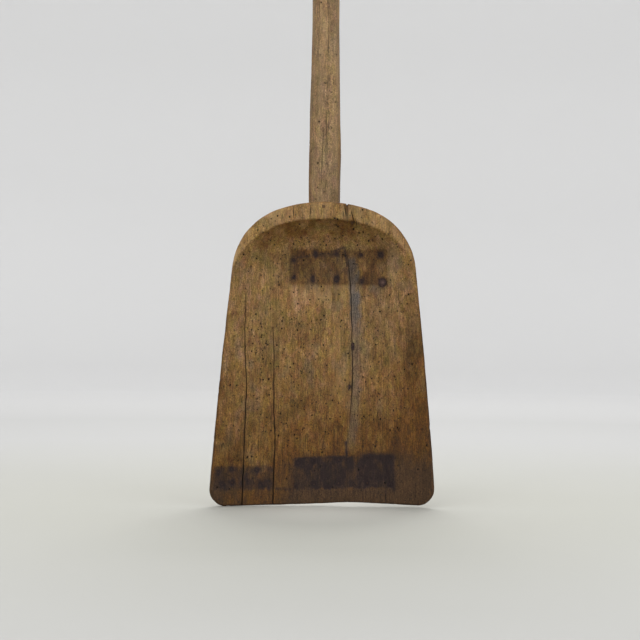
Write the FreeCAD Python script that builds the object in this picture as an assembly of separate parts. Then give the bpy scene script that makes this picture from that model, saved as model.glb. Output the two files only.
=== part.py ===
"""Grain scoop shovel: a hollowed wooden scoop with a tapering round shoulder, split along the
grain and nailed together again, on a shaved straight handle.

Millimetres. +Z runs up from the digging lip to the end of the handle, the hollow of the scoop
faces -Y, and the origin is on the floor, at the bottom centre of the whole tool.
"""

import FreeCAD
import Part
import math
import os

Vector = FreeCAD.Vector

# The plank that the scoop is carved from
SCOOP_LENGTH = 363.0
PLANK_THICKNESS = 70.0
FRONT_Y = -PLANK_THICKNESS / 2
BACK_Y = PLANK_THICKNESS / 2

# Outline of the scoop, seen from the front
LIP_HALF_WIDTH = 134.0
LIP_WIDEST_Z = 26.0
SHOULDER_HALF_WIDTH = 110.3
SHOULDER_Z = 271.0
SIDE_BULGE = 1.1
CROWN_RADIUS = 165.0
SHOULDER_RADIUS = 81.0
LIP_CORNER_RADIUS = 20.0
LIP_WEAR = 3.2

# The plane of the rim, which falls back towards the lip
RIM_FALL = 23.0

# The hollow, whose depth is measured from the rim plane
HOLLOW_DEPTH = 32.0
LIP_HOLLOW_DEPTH = 14.0
HOLLOW_CENTRE_Z = 247.0
HOLLOW_HALF_WIDTH = 111.5
HOLLOW_HEIGHT = 95.0
HOLLOW_SPREAD = 0.097
HOLLOW_CORNER_POWER = 2.4
LIP_ROUNDNESS = 1.7
SIDE_ROUNDNESS = 2.4
COVE_ROUNDNESS = 6.5

# The back, whose depth is measured from the rim plane too, and the keel that runs up into the handle
LIP_THICKNESS = 7.0
NECK_THICKNESS = 17.0
SIDE_THICKNESS = 13.0
BACK_HALF_WIDTH = 118.0
BACK_ROUNDNESS = 2.2
SHOULDER_EASE = 10.0
SHOULDER_EASE_Z = 300.0
KEEL_Y = 34.0
KEEL_DROP = 24.0
KEEL_RADIUS = 20.0
KEEL_FOOT_Z = 120.0
KEEL_TOP_Z = 315.0
KEEL_BLEND = 7.0

# Handle: (height, width, depth) of the oval sections, then a round grip
HANDLE_Y = 15.0
HANDLE_SECTIONS = [(350.0, 37.6, 32.5), (421.0, 38.8, 33.5), (482.0, 36.4, 32.8), (519.0, 34.7, 32.3)]
GRIP_RADIUS = 16.0
GRIP_START_Z = 620.0
GRIP_END_Z = 1074.0
HANDLE_END_Z = 1090.0
TENON_RADIUS = 12.0
TENON_END_RADIUS = 10.5
TENON_LENGTH = 62.0

# The split that parts the scoop, and the two drying checks beside it: (x, z) from the lip upwards
SPLIT_LINE = [(30.8, -5), (30.0, 58), (28.9, 74), (33.0, 104), (35.2, 145), (35.1, 176), (33.9, 215),
              (32.0, 260), (29.4, 292), (25.6, 310), (27.0, 340), (26.4, 370)]
SPLIT_GAP = 0.8
OUTER_CHECK = [(-95.6, -5), (-94.6, 31), (-93.1, 80), (-90.8, 146), (-92.7, 182), (-93.3, 211), (-92.3, 252)]
INNER_CHECK = [(-58.7, -5), (-56.9, 79), (-58.2, 113), (-59.0, 149), (-58.7, 180), (-60.3, 212)]
CHECK_GAP = 1.0

# Nails of three sheet-iron patches that have come away: (x, z) on the front face
CROWN_PATCH = [(-36.5, 295.0), (-10.5, 301.5), (15.0, 302.5), (44.5, 301.5), (68.0, 301.5),
               (-36.5, 274.0), (-13.0, 272.0), (15.0, 272.0), (45.0, 271.0), (70.0, 268.5)]
LIP_PATCH = [(-29.0, 52.0), (-10.5, 53.5), (20.5, 56.0), (54.5, 60.0), (81.5, 58.5),
             (-33.0, 24.0), (-9.5, 27.0), (20.0, 28.0), (54.0, 28.5), (81.5, 27.5)]
CORNER_PATCH = [(-123.5, 41.0), (-107.5, 45.0), (-78.0, 44.0),
                (-119.0, 26.5), (-107.0, 28.5), (-74.0, 25.5)]
NAIL_SIDE = 3.4
NAIL_TIP_SIDE = 1.8
BLIND_NAIL_LENGTH = 13.0
CLINCH_LENGTH = 7.5
CLINCH_THICKNESS = 1.5
CLINCH_PROUD = 1.0
HEADED_NAIL = 10
NAIL_HEAD_RADIUS = 5.3
NAIL_HEAD_THICKNESS = 1.3

# Cut nails driven aslant across the split: (x, z, direction across it)
SEAM_NAILS = {"seam_nail_upper": (35.3, 191.8, -1), "seam_nail_lower": (32.5, 142.5, 1)}
SEAM_HEAD = (4.2, 9.4, 2.0)
SEAM_SHANK = (2.4, 4.6, 15.0)
SEAM_ANGLE = 52.0

# The nail that pins the tenon, driven in through the rim
PIN_X = -1.2
PIN_Z = 357.0
PIN_SIDE = 3.6
PIN_LENGTH = 52.0

SAMPLES_ACROSS = 33
SAMPLES_UP = 45
MARGIN = 16.0


def smooth_step(t):
    """0 below t = 0, 1 above t = 1, and a smooth rise between."""
    t = min(max(t, 0.0), 1.0)
    return t * t * (3 - 2 * t)


def rim_y(z):
    """The rim plane."""
    return FRONT_Y + RIM_FALL * (1 - z / SCOOP_LENGTH)


def centre_depth(z):
    """Depth of the hollow along its lowest line."""
    along = min(max(z / HOLLOW_CENTRE_Z, -0.2), 1.0)
    return LIP_HOLLOW_DEPTH + (HOLLOW_DEPTH - LIP_HOLLOW_DEPTH) * math.sin(math.pi / 2 * along)


def across(x, z, half):
    """0 on the scoop's lowest line and 1 at its side. Towards the lip that line moves over to the split."""
    lowest = SPLIT_LINE[0][0] * (1 - min(max(z / HOLLOW_CENTRE_Z, 0.0), 1.0))
    reach = half - lowest if x > lowest else half + lowest
    return abs(x - lowest) / reach


def half_width(z, half_at_centre):
    """Half the width of the hollow or the back, which spreads towards the lip."""
    return half_at_centre + HOLLOW_SPREAD * max(HOLLOW_CENTRE_Z - z, 0.0)


def hollow_y(x, z):
    """The front face inside the rim: a cove under the crown that runs out into a shallow dish."""
    up = max((z - HOLLOW_CENTRE_Z) / HOLLOW_HEIGHT, 0.0) ** HOLLOW_CORNER_POWER
    out = across(x, z, half_width(z, HOLLOW_HALF_WIDTH)) ** HOLLOW_CORNER_POWER
    reach = (up + out) ** (1 / HOLLOW_CORNER_POWER)
    along = min(max(z / HOLLOW_CENTRE_Z, 0.0), 1.0)
    roundness = LIP_ROUNDNESS + (SIDE_ROUNDNESS - LIP_ROUNDNESS) * along
    if up > 0:
        roundness += (COVE_ROUNDNESS - SIDE_ROUNDNESS) * up / (up + out)
    depth = 1 - reach ** roundness if reach <= 1 else -roundness * (reach - 1)
    return rim_y(z) + centre_depth(z) * depth


def back_y(x, z):
    """The rounded back, with a keel that runs up into the handle."""
    share = min(max(z / SCOOP_LENGTH, 0.0), 1.0)
    centre = centre_depth(z) + LIP_THICKNESS + (NECK_THICKNESS - LIP_THICKNESS) * share
    edge = LIP_THICKNESS + (SIDE_THICKNESS - LIP_THICKNESS) * share
    fall = 1 - across(x, z, half_width(z, BACK_HALF_WIDTH)) ** BACK_ROUNDNESS
    ease = SHOULDER_EASE * max((z - SHOULDER_EASE_Z) / (SCOOP_LENGTH - SHOULDER_EASE_Z), 0.0) ** 2
    bowl = rim_y(z) + edge + (centre - edge) * fall - ease
    sunk = KEEL_DROP * (1 - smooth_step((z - KEEL_FOOT_Z) / (KEEL_TOP_Z - KEEL_FOOT_Z)))
    keel = KEEL_Y - sunk - x ** 2 / (2 * KEEL_RADIUS)
    return (bowl + keel + math.sqrt((bowl - keel) ** 2 + KEEL_BLEND ** 2)) / 2


def surface(height_of):
    """A smooth face through height_of(x, z), a little larger than the plank."""
    wide = LIP_HALF_WIDTH + MARGIN
    rows = []
    for i in range(SAMPLES_ACROSS):
        x = -wide + 2 * wide * i / (SAMPLES_ACROSS - 1)
        heights = [-MARGIN + (SCOOP_LENGTH + 2 * MARGIN) * j / (SAMPLES_UP - 1) for j in range(SAMPLES_UP)]
        rows.append([Vector(x, height_of(x, z), z) for z in heights])
    patch = Part.BSplineSurface()
    patch.interpolate(rows)
    return patch.toShape()


def arc(start, middle, end):
    """An arc in the front view through three (x, z) points."""
    points = [Vector(x, 0, z) for x, z in (start, middle, end)]
    return Part.Arc(*points).toShape()


def meet(centre_a, radius_a, centre_b, radius_b):
    """The upper point that is radius_a from centre_a and radius_b from centre_b, in the front view."""
    dx, dz = centre_b[0] - centre_a[0], centre_b[1] - centre_a[1]
    apart = math.hypot(dx, dz)
    along = (apart ** 2 + radius_a ** 2 - radius_b ** 2) / (2 * apart)
    off = math.sqrt(radius_a ** 2 - along ** 2)
    foot = (centre_a[0] + along * dx / apart, centre_a[1] + along * dz / apart)
    choices = [(foot[0] + s * off * dz / apart, foot[1] - s * off * dx / apart) for s in (1, -1)]
    return max(choices, key=lambda p: p[1])


def outline_face():
    """The scoop from the front: a crown arc, two shoulder arcs, nearly straight sides and a worn lip."""
    low = (LIP_HALF_WIDTH, LIP_WIDEST_Z)
    high = (SHOULDER_HALF_WIDTH, SHOULDER_Z)
    chord = math.hypot(high[0] - low[0], high[1] - low[1])
    side_radius = chord ** 2 / (8 * SIDE_BULGE)
    normal = ((high[1] - low[1]) / chord, (low[0] - high[0]) / chord)
    inward = side_radius - SIDE_BULGE
    side = ((low[0] + high[0]) / 2 - inward * normal[0], (low[1] + high[1]) / 2 - inward * normal[1])
    crown = (0.0, SCOOP_LENGTH - CROWN_RADIUS)
    shoulder = meet(crown, CROWN_RADIUS - SHOULDER_RADIUS, side, side_radius - SHOULDER_RADIUS)
    rise = LIP_CORNER_RADIUS - side[1]
    corner_x = side[0] + math.sqrt((side_radius - LIP_CORNER_RADIUS) ** 2 - rise ** 2)
    corner = (corner_x, LIP_CORNER_RADIUS)

    def towards(centre, target, radius):
        dx, dz = target[0] - centre[0], target[1] - centre[1]
        size = math.hypot(dx, dz)
        return centre[0] + radius * dx / size, centre[1] + radius * dz / size

    def away(centre, source, radius):
        return towards(centre, (2 * centre[0] - source[0], 2 * centre[1] - source[1]), radius)

    crown_end = away(shoulder, crown, SHOULDER_RADIUS)
    side_top = away(shoulder, side, SHOULDER_RADIUS)
    side_foot = away(corner, side, LIP_CORNER_RADIUS)
    lip_end = (corner[0], 0.0)
    shoulder_middle = towards(shoulder, ((crown_end[0] + side_top[0]) / 2, (crown_end[1] + side_top[1]) / 2),
                              SHOULDER_RADIUS)
    side_middle = towards(side, ((side_top[0] + side_foot[0]) / 2, (side_top[1] + side_foot[1]) / 2), side_radius)
    corner_middle = towards(corner, ((side_foot[0] + lip_end[0]) / 2, (side_foot[1] + lip_end[1]) / 2),
                            LIP_CORNER_RADIUS)

    def mirrored(*points):
        return [(-x, z) for x, z in reversed(points)]

    right = [(crown_end, shoulder_middle, side_top), (side_top, side_middle, side_foot),
             (side_foot, corner_middle, lip_end)]
    edges = [arc(*mirrored(crown_end)[:1], (0.0, SCOOP_LENGTH), crown_end)]
    edges += [arc(*points) for points in right]
    split_foot = Vector(SPLIT_LINE[0][0], 0, LIP_WEAR)
    edges.append(Part.makeLine(Vector(lip_end[0], 0, 0), split_foot))
    edges.append(Part.makeLine(split_foot, Vector(-lip_end[0], 0, 0)))
    edges += [arc(*mirrored(*points)) for points in reversed(right)]
    return Part.Face(Part.Wire(edges))


def slot(line, gap, open_top=False):
    """A thin crack along a line of (x, z) points, open at the lip and closing upwards unless open_top."""
    last = len(line) - 1
    widths = [gap / 2 * (1.0 if open_top else 1 - 0.85 * i / last) for i in range(last + 1)]
    left = [Vector(x - w, FRONT_Y - MARGIN, z) for (x, z), w in zip(line, widths)]
    right = [Vector(x + w, FRONT_Y - MARGIN, z) for (x, z), w in zip(line, widths)]
    face = Part.Face(Part.makePolygon(left + right[::-1] + left[:1]))
    return face.extrude(Vector(0, PLANK_THICKNESS + 2 * MARGIN, 0))


def tapered_bar(start, end, start_size, end_size, start_turn=0.0):
    """A rectangular nail shank from start to end, with (width, height) at each end."""
    direction = (end - start).normalize()
    side = Vector(0, 0, 1).cross(direction).normalize()
    up = direction.cross(side)
    wires = []
    for point, (width, height) in ((start, start_size), (end, end_size)):
        corners = [point + side * (sx * width / 2) + up * (sz * height / 2)
                   for sx, sz in ((-1, -1), (1, -1), (1, 1), (-1, 1))]
        wires.append(Part.makePolygon(corners + corners[:1]))
    return Part.makeLoft(wires, True, True)


def blind_nail(x, z):
    """A nail shank that ends inside the wood."""
    start = Vector(x, hollow_y(x, z) - MARGIN, z)
    face = Vector(x, hollow_y(x, z), z)
    end = face + Vector(0, BLIND_NAIL_LENGTH, 0)
    outer = tapered_bar(start, face, (NAIL_SIDE, NAIL_SIDE), (NAIL_SIDE, NAIL_SIDE))
    inner = tapered_bar(face, end, (NAIL_SIDE, NAIL_SIDE), (NAIL_TIP_SIDE, NAIL_TIP_SIDE))
    return outer.fuse(inner)


def clinched_nail(x, z):
    """A nail that goes through the lip and is bent over against the back."""
    back = Vector(x, back_y(x, z), z)
    start = Vector(x, hollow_y(x, z) - MARGIN, z)
    end = back + Vector(0, CLINCH_PROUD, 0)
    shank = tapered_bar(start, end, (NAIL_SIDE, NAIL_SIDE), (NAIL_TIP_SIDE, NAIL_TIP_SIDE))
    tip_z = z + CLINCH_LENGTH
    middle = CLINCH_PROUD - CLINCH_THICKNESS / 2
    bend = back + Vector(0, middle, -NAIL_TIP_SIDE / 2)
    tip = Vector(x, back_y(x, tip_z) + middle - CLINCH_PROUD / 2, tip_z)
    side = Vector(1, 0, 0)
    wires = []
    for point, width in ((bend, NAIL_TIP_SIDE + 0.4), (tip, NAIL_TIP_SIDE - 0.6)):
        deep = Vector(0, CLINCH_THICKNESS / 2, 0)
        corners = [point - side * (width / 2) - deep, point + side * (width / 2) - deep,
                   point + side * (width / 2) + deep, point - side * (width / 2) + deep]
        wires.append(Part.makePolygon(corners + corners[:1]))
    return shank.fuse(Part.makeLoft(wires, True, True))


def nail_head(x, z):
    """A flat round head that stands on the front face."""
    step = 2.0
    rise = (hollow_y(x, z + step) - hollow_y(x, z - step)) / (2 * step)
    lean = (hollow_y(x + step, z) - hollow_y(x - step, z)) / (2 * step)
    inward = Vector(-lean, 1, -rise).normalize()
    face = Vector(x, hollow_y(x, z), z)
    return Part.makeCylinder(NAIL_HEAD_RADIUS, 2 * NAIL_HEAD_THICKNESS, face - inward * NAIL_HEAD_THICKNESS, inward)


def seam_nail(x, z, across_split):
    """A cut nail with a long flat head sunk flush, and a shank that crosses the split."""
    width, height, depth = SEAM_HEAD
    top = Vector(x, hollow_y(x, z), z)
    head = Part.makeBox(width, MARGIN + depth, height, top - Vector(width / 2, MARGIN, height / 2))
    thick, tall, length = SEAM_SHANK
    lean = math.radians(SEAM_ANGLE)
    start = top + Vector(0, depth / 2, 0)
    end = start + Vector(across_split * math.sin(lean), math.cos(lean), 0) * length
    return head.fuse(tapered_bar(start, end, (thick, tall), (thick / 2, tall / 2)))


def make_handle(shoulder):
    """The handle, cut to sit on the shoulder, with its tenon."""
    centre = Vector(0, HANDLE_Y, 0)
    wires = []
    for z, width, depth in HANDLE_SECTIONS + [(GRIP_START_Z, 2 * GRIP_RADIUS, 2 * GRIP_RADIUS)]:
        wide, deep = Vector(width / 2, 0, 0), Vector(0, depth / 2, 0)
        middle = centre + Vector(0, 0, z)
        if width > depth:
            oval = Part.Ellipse(middle + wide, middle + deep, middle).toShape()
        else:
            oval = Part.makeCircle(GRIP_RADIUS, middle)
        wires.append(Part.Wire(oval))
    shaft = Part.makeLoft(wires, True)
    grip = Part.makeCylinder(GRIP_RADIUS, GRIP_END_Z - GRIP_START_Z, centre + Vector(0, 0, GRIP_START_Z))
    end = Part.makeCylinder(GRIP_RADIUS, HANDLE_END_Z - GRIP_END_Z, centre + Vector(0, 0, GRIP_END_Z))
    rim = [edge for edge in end.Edges if abs(edge.BoundBox.ZMin - HANDLE_END_Z) < 1e-6 and edge.Closed]
    end = end.makeFillet(GRIP_RADIUS * 0.6, rim)
    tenon_foot = SCOOP_LENGTH - TENON_LENGTH
    tenon = Part.makeCone(TENON_END_RADIUS, TENON_RADIUS, TENON_LENGTH, centre + Vector(0, 0, tenon_foot))
    return shaft.cut(shoulder).fuse([grip, end, tenon]).removeSplitter(), tenon


def save(name, shape):
    """Writes one sub-part, as one closed solid."""
    shape = shape.Solids[0] if len(shape.Solids) == 1 else shape
    assert shape.isValid() and len(shape.Solids) == 1, name
    shape.exportStep(f"parts/{name}.step")


os.makedirs("parts", exist_ok=True)

# The whole scoop as it was carved, before it split
plank = outline_face()
plank.translate(Vector(0, FRONT_Y, 0))
plank = plank.extrude(Vector(0, PLANK_THICKNESS, 0))
deep = Vector(0, 2 * PLANK_THICKNESS, 0)
rim_corners = [Vector(x, rim_y(z), z) for x, z in
               ((-200, -MARGIN), (200, -MARGIN), (200, SCOOP_LENGTH + MARGIN), (-200, SCOOP_LENGTH + MARGIN))]
rim_air = Part.Face(Part.makePolygon(rim_corners + rim_corners[:1])).extrude(-deep)
hollow_air = surface(hollow_y).extrude(-deep)
back_air = surface(back_y).extrude(deep)
scoop = plank.cut(rim_air).cut(hollow_air).cut(back_air)

handle, tenon = make_handle(scoop)

nails = {}
for number, (x, z) in enumerate(CROWN_PATCH, 1):
    shank = blind_nail(x, z).cut(hollow_air)
    if number == HEADED_NAIL:
        shank = shank.fuse(nail_head(x, z))
    nails[f"crown_patch_nail_{number:02d}"] = shank
for number, (x, z) in enumerate(LIP_PATCH, 1):
    nails[f"lip_patch_nail_{number:02d}"] = clinched_nail(x, z).cut(hollow_air)
for number, (x, z) in enumerate(CORNER_PATCH, 1):
    nails[f"corner_patch_nail_{number:02d}"] = clinched_nail(x, z).cut(hollow_air)
for name, (x, z, across_split) in SEAM_NAILS.items():
    nails[name] = seam_nail(x, z, across_split).cut(hollow_air)
pin_start = Vector(PIN_X, rim_y(PIN_Z), PIN_Z)
nails["handle_pin_nail"] = tapered_bar(pin_start, pin_start + Vector(0, PIN_LENGTH, 0),
                                       (PIN_SIDE, PIN_SIDE), (PIN_SIDE / 2, PIN_SIDE / 2))

split = slot(SPLIT_LINE, SPLIT_GAP, open_top=True)
checks = [slot(OUTER_CHECK, CHECK_GAP), slot(INNER_CHECK, CHECK_GAP)]
scoop = scoop.cut(tenon).cut(Part.makeCompound([split] + checks))
scoop = scoop.cut(Part.makeCompound(list(nails.values())))
boards = sorted(scoop.Solids, key=lambda solid: solid.Volume)
assert len(boards) == 2, [round(b.Volume) for b in boards]

save("split_board", boards[0])
save("scoop_body", boards[1])
save("handle", handle.cut(nails["handle_pin_nail"]))
for name, nail in nails.items():
    save(name, nail)
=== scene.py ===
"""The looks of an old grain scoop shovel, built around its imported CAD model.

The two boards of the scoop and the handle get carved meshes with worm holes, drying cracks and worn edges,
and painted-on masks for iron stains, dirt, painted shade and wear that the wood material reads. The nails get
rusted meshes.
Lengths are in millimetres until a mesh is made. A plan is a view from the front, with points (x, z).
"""

import math
import random

import bpy
import numpy as np
from mathutils import Matrix, Vector
from mathutils.geometry import convex_hull_2d, delaunay_2d_cdt


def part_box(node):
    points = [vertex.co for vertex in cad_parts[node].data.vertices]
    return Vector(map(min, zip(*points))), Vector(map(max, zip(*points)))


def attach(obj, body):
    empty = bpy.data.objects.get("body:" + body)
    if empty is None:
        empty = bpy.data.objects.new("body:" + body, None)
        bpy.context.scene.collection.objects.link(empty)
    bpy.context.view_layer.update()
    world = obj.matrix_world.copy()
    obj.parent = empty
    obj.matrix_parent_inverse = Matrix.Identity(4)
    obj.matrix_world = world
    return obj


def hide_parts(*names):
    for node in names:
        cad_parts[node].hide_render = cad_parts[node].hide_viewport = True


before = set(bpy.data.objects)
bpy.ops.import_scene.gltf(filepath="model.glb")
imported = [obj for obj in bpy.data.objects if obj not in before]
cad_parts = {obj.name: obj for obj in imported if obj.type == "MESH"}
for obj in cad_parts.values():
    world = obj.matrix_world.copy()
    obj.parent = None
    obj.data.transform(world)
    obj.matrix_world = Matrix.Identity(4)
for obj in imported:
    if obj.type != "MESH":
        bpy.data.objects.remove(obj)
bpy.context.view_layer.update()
MM = 0.001
random.seed(7)

# The carved surfaces of the CAD scoop
FRONT_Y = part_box("scoop_body")[0][1] / MM
SCOOP_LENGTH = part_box("scoop_body")[1][2] / MM
RIM_FALL = 23.0
HOLLOW_DEPTH, LIP_HOLLOW_DEPTH = 32.0, 14.0
HOLLOW_CENTRE_Z, HOLLOW_HALF_WIDTH, HOLLOW_HEIGHT = 247.0, 111.5, 95.0
HOLLOW_SPREAD, HOLLOW_CORNER_POWER = 0.097, 2.4
LIP_ROUNDNESS, SIDE_ROUNDNESS, COVE_ROUNDNESS = 1.7, 2.4, 6.5
LIP_THICKNESS, NECK_THICKNESS, SIDE_THICKNESS = 7.0, 17.0, 13.0
BACK_HALF_WIDTH, BACK_ROUNDNESS = 118.0, 2.2
SHOULDER_EASE, SHOULDER_EASE_Z = 10.0, 300.0
KEEL_Y, KEEL_DROP, KEEL_RADIUS = 34.0, 24.0, 20.0
KEEL_FOOT_Z, KEEL_TOP_Z, KEEL_BLEND = 120.0, 315.0, 7.0

# The split between the boards and the two drying checks: (x, z) from the lip upwards
SPLIT_LINE = [(30.8, -5), (30.0, 58), (28.9, 74), (33.0, 104), (35.2, 145), (35.1, 176), (33.9, 215),
              (32.0, 260), (29.4, 292), (25.6, 310), (27.0, 340), (26.4, 370)]
SPLIT_GAPS = [(0, 0.14), (60, 0.08), (90, 0.12), (120, 0.34), (150, 0.50), (260, 0.46), (290, 0.34),
              (308, 0.16), (316, 0.06), (338, 0.06), (348, 0.20), (363, 0.26)]
CHECK_LINES = [
    [(-95.6, -5), (-94.6, 31), (-93.1, 80), (-90.8, 146), (-92.7, 182), (-93.3, 211), (-92.3, 252)],
    [(-58.7, -5), (-56.9, 79), (-58.2, 113), (-59.0, 149), (-58.7, 180), (-60.3, 212)]]
CHECK_GAP = 0.85
# What wear has taken from the lip since the board was cut: (x, depth)
LIP_LOSS = [(-50, 0.0), (0, 1.0), (70, 2.3), (125, 2.4)]
CRACK_SLANT = 2.4
# Shallow cracks along the grain: (x, lowest z, highest z, width, depth, how far x grows towards the top)
HAIRLINES = [
    (-36.5, 343, 361.5, 0.7, 3.0, -0.5), (-50.0, 338, 349, 0.5, 2.0, 0.6),
    (-16.4, 345, 360, 0.6, 2.5, 0.5), (-3.5, 346, 356, 0.4, 2.0, 0.3), (24.4, 345, 361, 0.9, 3.0, -2.6),
    (22.2, 342, 354, 0.5, 2.0, -1.5), (33.6, 337, 353, 1.1, 3.5, -4.6),
    (37.5, 334, 345, 0.6, 2.5, -3.0), (-28.6, 4, 21, 0.5, 2.5, 0.0), (75.8, 3, 19, 0.5, 2.5, 0.0),
    (14.4, 154, 173, 0.5, 2.0, 0.4), (-67.0, 128, 139, 0.5, 2.0, 0.0), (57.0, 214, 226, 0.4, 2.0, 0.5),
    (-104.0, 262, 283, 0.4, 2.0, 1.2), (66.0, 96, 118, 0.5, 2.0, -1.8), (-76.0, 58, 92, 0.4, 2.0, 0.5),
    (4.5, 92, 121, 0.4, 2.0, -0.6), (91.0, 196, 229, 0.4, 2.0, -0.8)]

# Meshes
LOOP_STEP, WALL_ROWS = 1.2, 4
FRONT_STEP, FRONT_ROWS = 1.45, (0.35, 0.9, 1.8)
BACK_STEP, BACK_ROWS = 2.1, (0.5, 1.4, 2.6)
RIM_ROWS, RIM_CLEARANCE = (-1.7, -0.8, 0, 0.8, 1.7), 2.4
RIM_WEAR = 1.1
FRONT_EDGE_RADIUS, BACK_EDGE_RADIUS, CRACK_EDGE_RADIUS = 2.6, 3.4, 0.5
SPLIT_OPEN = 0.55
EDGE_GAP, RING_GAP, HOLE_GAP = 0.5, 0.2, 0.35
PIT_TAPER = 0.25
SHARP_ANGLE = math.radians(55)
# The masks painted on the meshes; the dirt mask carries painted shade as well as dirt.
MASKS = ("iron", "grey", "dirt", "pale")

# The patches that have come away: (left, right, bottom, top) of each
CROWN_PATCH = (-40.5, 75.0, 265.0, 307.5)
LIP_PATCH = (-33.5, 86.5, 20.0, 58.0)
CORNER_PATCH = (-129.0, -58.0, 19.5, 48.0)
LIP_PATCH_RISE = 4.0
BARE_SPOT = (42.0, 57.0)


def looked_up(at, rows, key=0, value=1):
    """A table's value at a place, in proportion between its rows."""
    return np.interp(at, [row[key] for row in rows], [row[value] for row in rows])


def split_x(z):
    """Where the split runs at height z."""
    return looked_up(z, SPLIT_LINE, 1, 0)


def split_gap(z):
    """How far the split stands open at height z."""
    return looked_up(z, SPLIT_GAPS)


def smooth_step(t):
    """0 below t = 0, 1 above t = 1, and a smooth rise between."""
    t = np.clip(t, 0.0, 1.0)
    return t * t * (3 - 2 * t)


def ramp(value, start, end):
    """A smooth rise from 0 at the start to 1 at the end, which may be the lower of the two."""
    return smooth_step((value - start) / (end - start))


def bell(value, middle, width):
    """1 in the middle, fading over the width to both sides."""
    return np.exp(-((value - middle) / width) ** 2)


def crack_slant(x, z):
    """How far sideways the cracks have moved by the time they reach the back."""
    near = bell(x, split_x(z), 14)
    for line in CHECK_LINES:
        near = near + bell(x, looked_up(z, line, 1, 0), 12)
    return CRACK_SLANT * near


def rim_y(z):
    """The rim plane."""
    return FRONT_Y + RIM_FALL * (1 - z / SCOOP_LENGTH)


def centre_depth(z):
    """Depth of the hollow along its lowest line."""
    along = np.clip(z / HOLLOW_CENTRE_Z, -0.2, 1.0)
    return LIP_HOLLOW_DEPTH + (HOLLOW_DEPTH - LIP_HOLLOW_DEPTH) * np.sin(math.pi / 2 * along)


def across(x, z, half):
    """0 on the scoop's lowest line and 1 at its side."""
    lowest = SPLIT_LINE[0][0] * (1 - np.clip(z / HOLLOW_CENTRE_Z, 0.0, 1.0))
    reach = np.where(x > lowest, half - lowest, half + lowest)
    return np.abs(x - lowest) / reach


def half_width(z, half_at_centre):
    """Half the width of the hollow or the back, which spreads towards the lip."""
    return half_at_centre + HOLLOW_SPREAD * np.maximum(HOLLOW_CENTRE_Z - z, 0.0)


def hollow_reach(x, z):
    """0 in the middle of the hollow and 1 at the rim, and its share that is upwards."""
    up = np.maximum((z - HOLLOW_CENTRE_Z) / HOLLOW_HEIGHT, 0.0) ** HOLLOW_CORNER_POWER
    out = across(x, z, half_width(z, HOLLOW_HALF_WIDTH)) ** HOLLOW_CORNER_POWER
    torn = 1 + 0.016 * (layered(x / 4.5, 0, z / 4.5, 35) - 0.5)
    return torn * (up + out) ** (1 / HOLLOW_CORNER_POWER), up / np.maximum(up + out, 1e-9)


def hollow_y(x, z):
    """The hollow: a cove under the crown that runs out into a shallow dish."""
    reach, upward = hollow_reach(x, z)
    roundness = LIP_ROUNDNESS + (SIDE_ROUNDNESS - LIP_ROUNDNESS) * np.clip(z / HOLLOW_CENTRE_Z, 0.0, 1.0)
    roundness = roundness + (COVE_ROUNDNESS - SIDE_ROUNDNESS) * upward
    depth = np.where(reach <= 1, 1 - np.minimum(reach, 1) ** roundness, -roundness * (reach - 1))
    return rim_y(z) + centre_depth(z) * depth


def front_y(x, z):
    """The front of the wood: the rim and the hollow, with a worn edge between them."""
    rim, hollow = rim_y(z), hollow_y(x, z)
    return (rim + hollow + np.sqrt((rim - hollow) ** 2 + RIM_WEAR ** 2)) / 2


def back_y(x, z):
    """The rounded back, with the keel that runs up into the handle."""
    share = np.clip(z / SCOOP_LENGTH, 0.0, 1.0)
    centre = centre_depth(z) + LIP_THICKNESS + (NECK_THICKNESS - LIP_THICKNESS) * share
    edge = LIP_THICKNESS + (SIDE_THICKNESS - LIP_THICKNESS) * share
    fall = 1 - across(x, z, half_width(z, BACK_HALF_WIDTH)) ** BACK_ROUNDNESS
    ease = SHOULDER_EASE * np.maximum((z - SHOULDER_EASE_Z) / (SCOOP_LENGTH - SHOULDER_EASE_Z), 0.0) ** 2
    bowl = rim_y(z) + edge + (centre - edge) * fall - ease
    sunk = KEEL_DROP * (1 - ramp(z, KEEL_FOOT_Z, KEEL_TOP_Z))
    keel = KEEL_Y - sunk - x ** 2 / (2 * KEEL_RADIUS)
    return (bowl + keel + np.sqrt((bowl - keel) ** 2 + KEEL_BLEND ** 2)) / 2


def lattice(i, j, k, seed):
    """A fixed random number from 0 to 1 for each whole-numbered place."""
    mixed = ((i * 73856093) ^ (j * 19349663) ^ (k * 83492791) ^ (seed * 2654435761)) & 0xFFFFFFFF
    mixed = ((mixed ^ (mixed >> 13)) * 1274126177) & 0xFFFFFFFF
    return ((mixed ^ (mixed >> 16)) & 0xFFFF) / 65535.0


def noise(x, y, z, seed):
    """Smooth random values from 0 to 1 that change over about one unit."""
    x, y, z = np.broadcast_arrays(np.asarray(x, float), np.asarray(y, float), np.asarray(z, float))
    cells = [np.floor(v).astype(np.int64) for v in (x, y, z)]
    parts = [smooth_step(v - c) for v, c in zip((x, y, z), cells)]
    total = np.zeros(x.shape)
    for corner in np.ndindex(2, 2, 2):
        weight = np.ones(x.shape)
        for part, side in zip(parts, corner):
            weight = weight * (part if side else 1 - part)
        total += weight * lattice(*[c + side for c, side in zip(cells, corner)], seed)
    return total


def layered(x, y, z, seed, layers=3):
    """Noise with finer and weaker noise added, still from 0 to 1."""
    total, weight = 0.0, 0.0
    for n in range(layers):
        total = total + noise(x * 2 ** n, y * 2 ** n, z * 2 ** n, seed + n) / 2 ** n
        weight += 1 / 2 ** n
    return total / weight


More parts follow.
